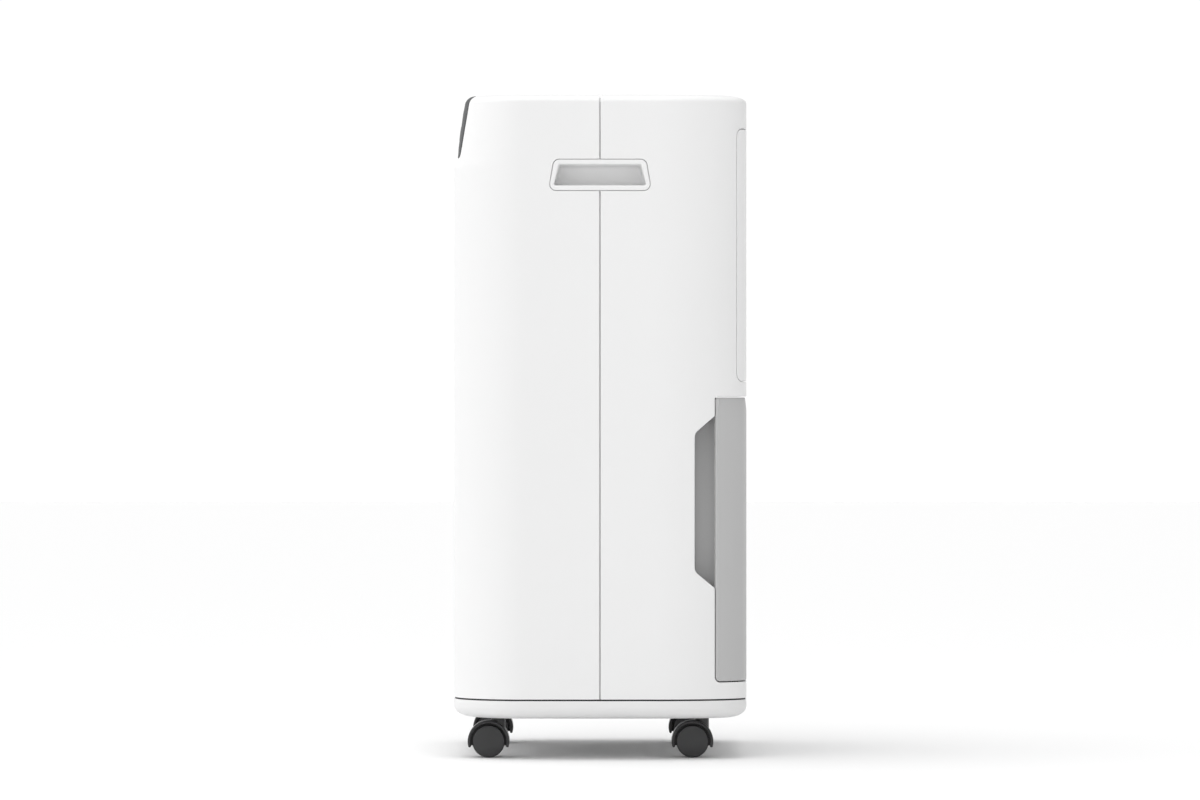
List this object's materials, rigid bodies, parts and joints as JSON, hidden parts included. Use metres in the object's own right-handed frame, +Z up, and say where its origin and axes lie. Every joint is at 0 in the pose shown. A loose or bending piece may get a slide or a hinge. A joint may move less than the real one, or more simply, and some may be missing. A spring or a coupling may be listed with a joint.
{
  "type": "dehumidifier",
  "caption": "Tall rounded white cabinet dehumidifier with a sloping control fascia, side hand grips, rear intake grille, pull-out water tank and swivel casters.",
  "frame": {"origin": "on the floor, under the middle of the housing's outline", "axes": "+Z up, the control fascia faces -Y, the intake grille and the tank face +Y, +X is to the right seen from the front"},
  "size_m": [0.36, 0.2606, 0.5895],
  "materials": {
    "white_casing": "satin",
    "handle_white": "satin",
    "tank_grey": "satin",
    "tank_clear": "satin",
    "fascia_grey": "gloss",
    "display_black": "gloss",
    "button_grey": "satin",
    "caster_black": "satin",
    "wheel_black": "matte",
    "steel": "satin",
    "black_steel": "satin",
    "switch_black": "matte",
    "copper": "satin",
    "aluminium": "satin",
    "inner_plastic": "matte",
    "rubber": "matte",
    "circuit_board": "satin",
    "filter_net": "matte"
  },
  "bodies": {
    "housing": {"base_tray": "white_casing", "front_casing": "white_casing", "rear_casing": "white_casing", "handle_right": "handle_white", "handle_left": "handle_white", "control_fascia": "fascia_grey", "display_window": "display_black", "control_board": "circuit_board", "outlet_grille": "white_casing", "bulkhead": "inner_plastic", "compressor": "black_steel", "compressor_grommet_1": "rubber", "compressor_grommet_2": "rubber", "compressor_grommet_3": "rubber", "accumulator": "black_steel", "suction_pipe": "copper", "discharge_pipe": "copper", "capillary_tube": "copper", "evaporator": "aluminium", "condenser": "aluminium", "drip_tray": "inner_plastic", "drain_spout": "inner_plastic", "fan_scroll": "inner_plastic", "fan_motor": "steel", "capacitor": "aluminium", "tank_switch": "switch_black", "cord_inlet": "rubber"},
    "fan": {"fan_impeller": "inner_plastic", "fan_shaft": "steel"},
    "tank": {"tank_cover": "tank_grey", "tank_bucket": "tank_clear", "tank_lid": "tank_grey"},
    "float": {"tank_float": "inner_plastic"},
    "intake_panel": {"filter_panel": "white_casing", "filter_mesh": "filter_net"},
    "drain_plug": {"drain_plug": "rubber"},
    "switch_lever": {"switch_lever": "steel"},
    "button_1": {"button_1": "button_grey"},
    "button_2": {"button_2": "button_grey"},
    "button_3": {"button_3": "button_grey"},
    "button_4": {"button_4": "button_grey"},
    "button_5": {"button_5": "button_grey"},
    "button_6": {"button_6": "button_grey"},
    "caster_fr": {"caster_hood_fr": "caster_black", "caster_axle_fr": "steel"},
    "wheel_fr_a": {"caster_wheel_fr_a": "wheel_black"},
    "wheel_fr_b": {"caster_wheel_fr_b": "wheel_black"},
    "caster_fl": {"caster_hood_fl": "caster_black", "caster_axle_fl": "steel"},
    "wheel_fl_a": {"caster_wheel_fl_a": "wheel_black"},
    "wheel_fl_b": {"caster_wheel_fl_b": "wheel_black"},
    "caster_rr": {"caster_hood_rr": "caster_black", "caster_axle_rr": "steel"},
    "wheel_rr_a": {"caster_wheel_rr_a": "wheel_black"},
    "wheel_rr_b": {"caster_wheel_rr_b": "wheel_black"},
    "caster_rl": {"caster_hood_rl": "caster_black", "caster_axle_rl": "steel"},
    "wheel_rl_a": {"caster_wheel_rl_a": "wheel_black"},
    "wheel_rl_b": {"caster_wheel_rl_b": "wheel_black"}
  },
  "joints": [
    {"name": "tank_slide", "type": "slide", "parent": "housing", "child": "tank", "axis": [0, 1, 0], "range_m": [0, 0.2]},
    {"name": "float_tilt", "type": "hinge", "parent": "tank", "child": "float", "pos_m": [-0.126, 0.052, 0.29], "axis": [1, 0, 0], "range_deg": [-12, 10]},
    {"name": "intake_panel_slide", "type": "slide", "parent": "housing", "child": "intake_panel", "axis": [0, 1, 0], "range_m": [0, 0.06]},
    {"name": "drain_plug_slide", "type": "slide", "parent": "housing", "child": "drain_plug", "axis": [-1, 0, 0], "range_m": [0, 0.03]},
    {"name": "switch_lever_tilt", "type": "hinge", "parent": "housing", "child": "switch_lever", "pos_m": [0.066, 0.0354, 0.2992], "axis": [1, 0, 0], "range_deg": [-4, 0], "stiffness_Nm_per_rad": 0.02},
    {"name": "fan_spin", "type": "hinge", "parent": "housing", "child": "fan", "pos_m": [-0.045, -0.04, 0.428], "axis": [0, 1, 0], "continuous": true},
    {"name": "button_1_press", "type": "slide", "parent": "housing", "child": "button_1", "axis": [0, 0.9912, -0.1323], "range_m": [0, 0.0012], "stiffness_N_per_m": 400},
    {"name": "button_2_press", "type": "slide", "parent": "housing", "child": "button_2", "axis": [0, 0.9912, -0.1323], "range_m": [0, 0.0012], "stiffness_N_per_m": 400},
    {"name": "button_3_press", "type": "slide", "parent": "housing", "child": "button_3", "axis": [0, 0.9912, -0.1323], "range_m": [0, 0.0012], "stiffness_N_per_m": 400},
    {"name": "button_4_press", "type": "slide", "parent": "housing", "child": "button_4", "axis": [0, 0.9912, -0.1323], "range_m": [0, 0.0012], "stiffness_N_per_m": 400},
    {"name": "button_5_press", "type": "slide", "parent": "housing", "child": "button_5", "axis": [0, 0.9912, -0.1323], "range_m": [0, 0.0012], "stiffness_N_per_m": 400},
    {"name": "button_6_press", "type": "slide", "parent": "housing", "child": "button_6", "axis": [0, 0.9912, -0.1323], "range_m": [0, 0.0012], "stiffness_N_per_m": 400},
    {"name": "caster_swivel_fr", "type": "hinge", "parent": "housing", "child": "caster_fr", "pos_m": [0.1215, -0.09085, 0.04], "axis": [0, 0, 1], "continuous": true},
    {"name": "wheel_roll_fr_a", "type": "hinge", "parent": "caster_fr", "child": "wheel_fr_a", "pos_m": [0.1215, -0.0993, 0.0145], "axis": [1, 0, 0], "continuous": true},
    {"name": "wheel_roll_fr_b", "type": "hinge", "parent": "caster_fr", "child": "wheel_fr_b", "pos_m": [0.1215, -0.0993, 0.0145], "axis": [1, 0, 0], "continuous": true},
    {"name": "caster_swivel_fl", "type": "hinge", "parent": "housing", "child": "caster_fl", "pos_m": [-0.1215, -0.09085, 0.04], "axis": [0, 0, 1], "continuous": true},
    {"name": "wheel_roll_fl_a", "type": "hinge", "parent": "caster_fl", "child": "wheel_fl_a", "pos_m": [-0.1215, -0.0993, 0.0145], "axis": [1, 0, 0], "continuous": true},
    {"name": "wheel_roll_fl_b", "type": "hinge", "parent": "caster_fl", "child": "wheel_fl_b", "pos_m": [-0.1215, -0.0993, 0.0145], "axis": [1, 0, 0], "continuous": true},
    {"name": "caster_swivel_rr", "type": "hinge", "parent": "housing", "child": "caster_rr", "pos_m": [0.1215, 0.09085, 0.04], "axis": [0, 0, 1], "continuous": true},
    {"name": "wheel_roll_rr_a", "type": "hinge", "parent": "caster_rr", "child": "wheel_rr_a", "pos_m": [0.1215, 0.0824, 0.0145], "axis": [1, 0, 0], "continuous": true},
    {"name": "wheel_roll_rr_b", "type": "hinge", "parent": "caster_rr", "child": "wheel_rr_b", "pos_m": [0.1215, 0.0824, 0.0145], "axis": [1, 0, 0], "continuous": true},
    {"name": "caster_swivel_rl", "type": "hinge", "parent": "housing", "child": "caster_rl", "pos_m": [-0.1215, 0.09085, 0.04], "axis": [0, 0, 1], "continuous": true},
    {"name": "wheel_roll_rl_a", "type": "hinge", "parent": "caster_rl", "child": "wheel_rl_a", "pos_m": [-0.1215, 0.0824, 0.0145], "axis": [1, 0, 0], "continuous": true},
    {"name": "wheel_roll_rl_b", "type": "hinge", "parent": "caster_rl", "child": "wheel_rl_b", "pos_m": [-0.1215, 0.0824, 0.0145], "axis": [1, 0, 0], "continuous": true}
  ]
}
